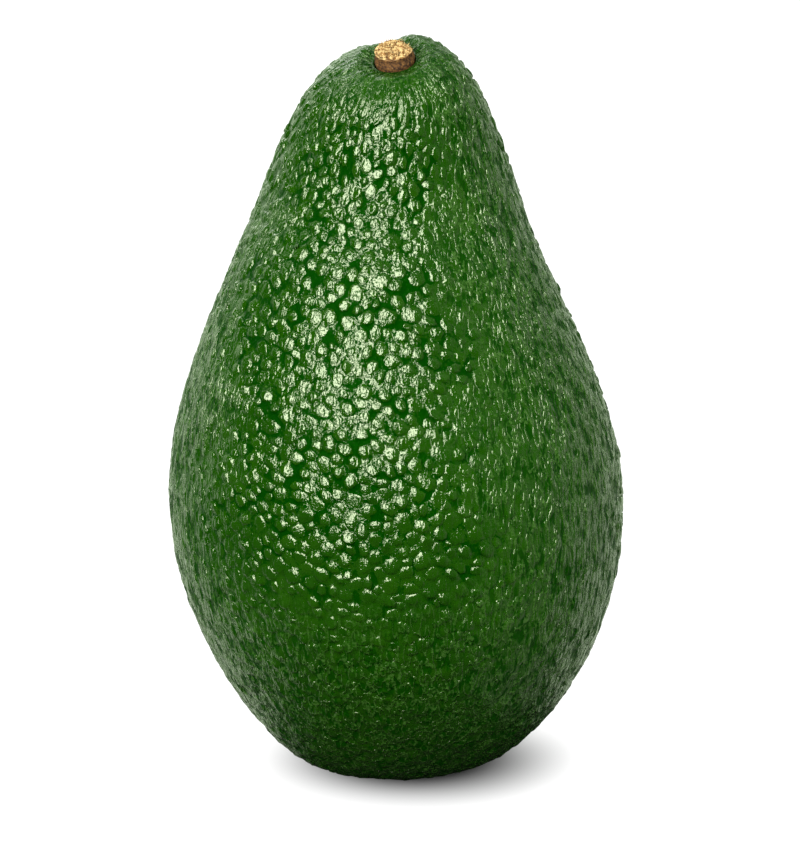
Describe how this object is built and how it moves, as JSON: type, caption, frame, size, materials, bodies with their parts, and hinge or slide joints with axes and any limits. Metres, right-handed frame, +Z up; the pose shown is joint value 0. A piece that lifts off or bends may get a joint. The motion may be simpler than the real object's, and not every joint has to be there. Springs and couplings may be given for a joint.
{
  "type": "avocado",
  "caption": "Whole green avocado standing on its blossom end, with pebbled leathery skin, a leaning neck and a corky stem button in the pit at its top.",
  "frame": {"origin": "middle of the small flat spot at the blossom end that the fruit rests on", "axes": "+Z up from the blossom end to the stem end. The neck and the stem button lean towards -Y and a little towards -X. +X is to the right of someone who looks along +Y."},
  "size_m": [0.0676, 0.0676, 0.1105],
  "materials": {
    "skin": "semi-gloss, pebbled, deep green with yellower pebble tops",
    "cork": "matt, torn fibres on top and dark bark round the side"
  },
  "bodies": {
    "root": {"fruit": "skin", "stem_button": "cork"}
  },
  "joints": []
}
